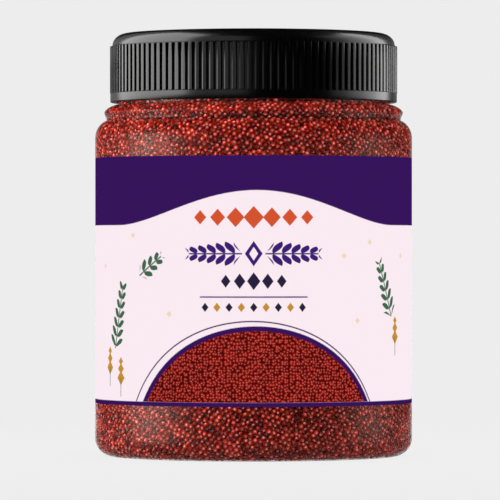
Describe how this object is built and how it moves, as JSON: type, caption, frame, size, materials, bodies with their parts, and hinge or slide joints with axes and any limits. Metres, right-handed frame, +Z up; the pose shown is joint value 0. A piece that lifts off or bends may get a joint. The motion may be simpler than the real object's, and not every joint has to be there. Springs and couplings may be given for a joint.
{
  "type": "jar of red quinoa",
  "caption": "Shut wide-mouth clear jar full of red quinoa seeds, with a black ribbed screw cap and a printed wrap label.",
  "frame": {"origin": "middle of the foot, on the surface that the jar stands on", "axes": "+Z up along the jar's axis, -Y towards the front of the label"},
  "size_m": [0.095, 0.095, 0.1265],
  "materials": {
    "clear_plastic": "clear, glossy, blown",
    "black_plastic": "black, semi-gloss, moulded",
    "printed_film": "thin film with flat printed colours, satin",
    "red_quinoa": "dry seeds, satin, deep red to red brown"
  },
  "bodies": {
    "root": {"jar": "clear_plastic", "cap": "black_plastic", "label": "printed_film", "quinoa": "red_quinoa"}
  },
  "joints": []
}
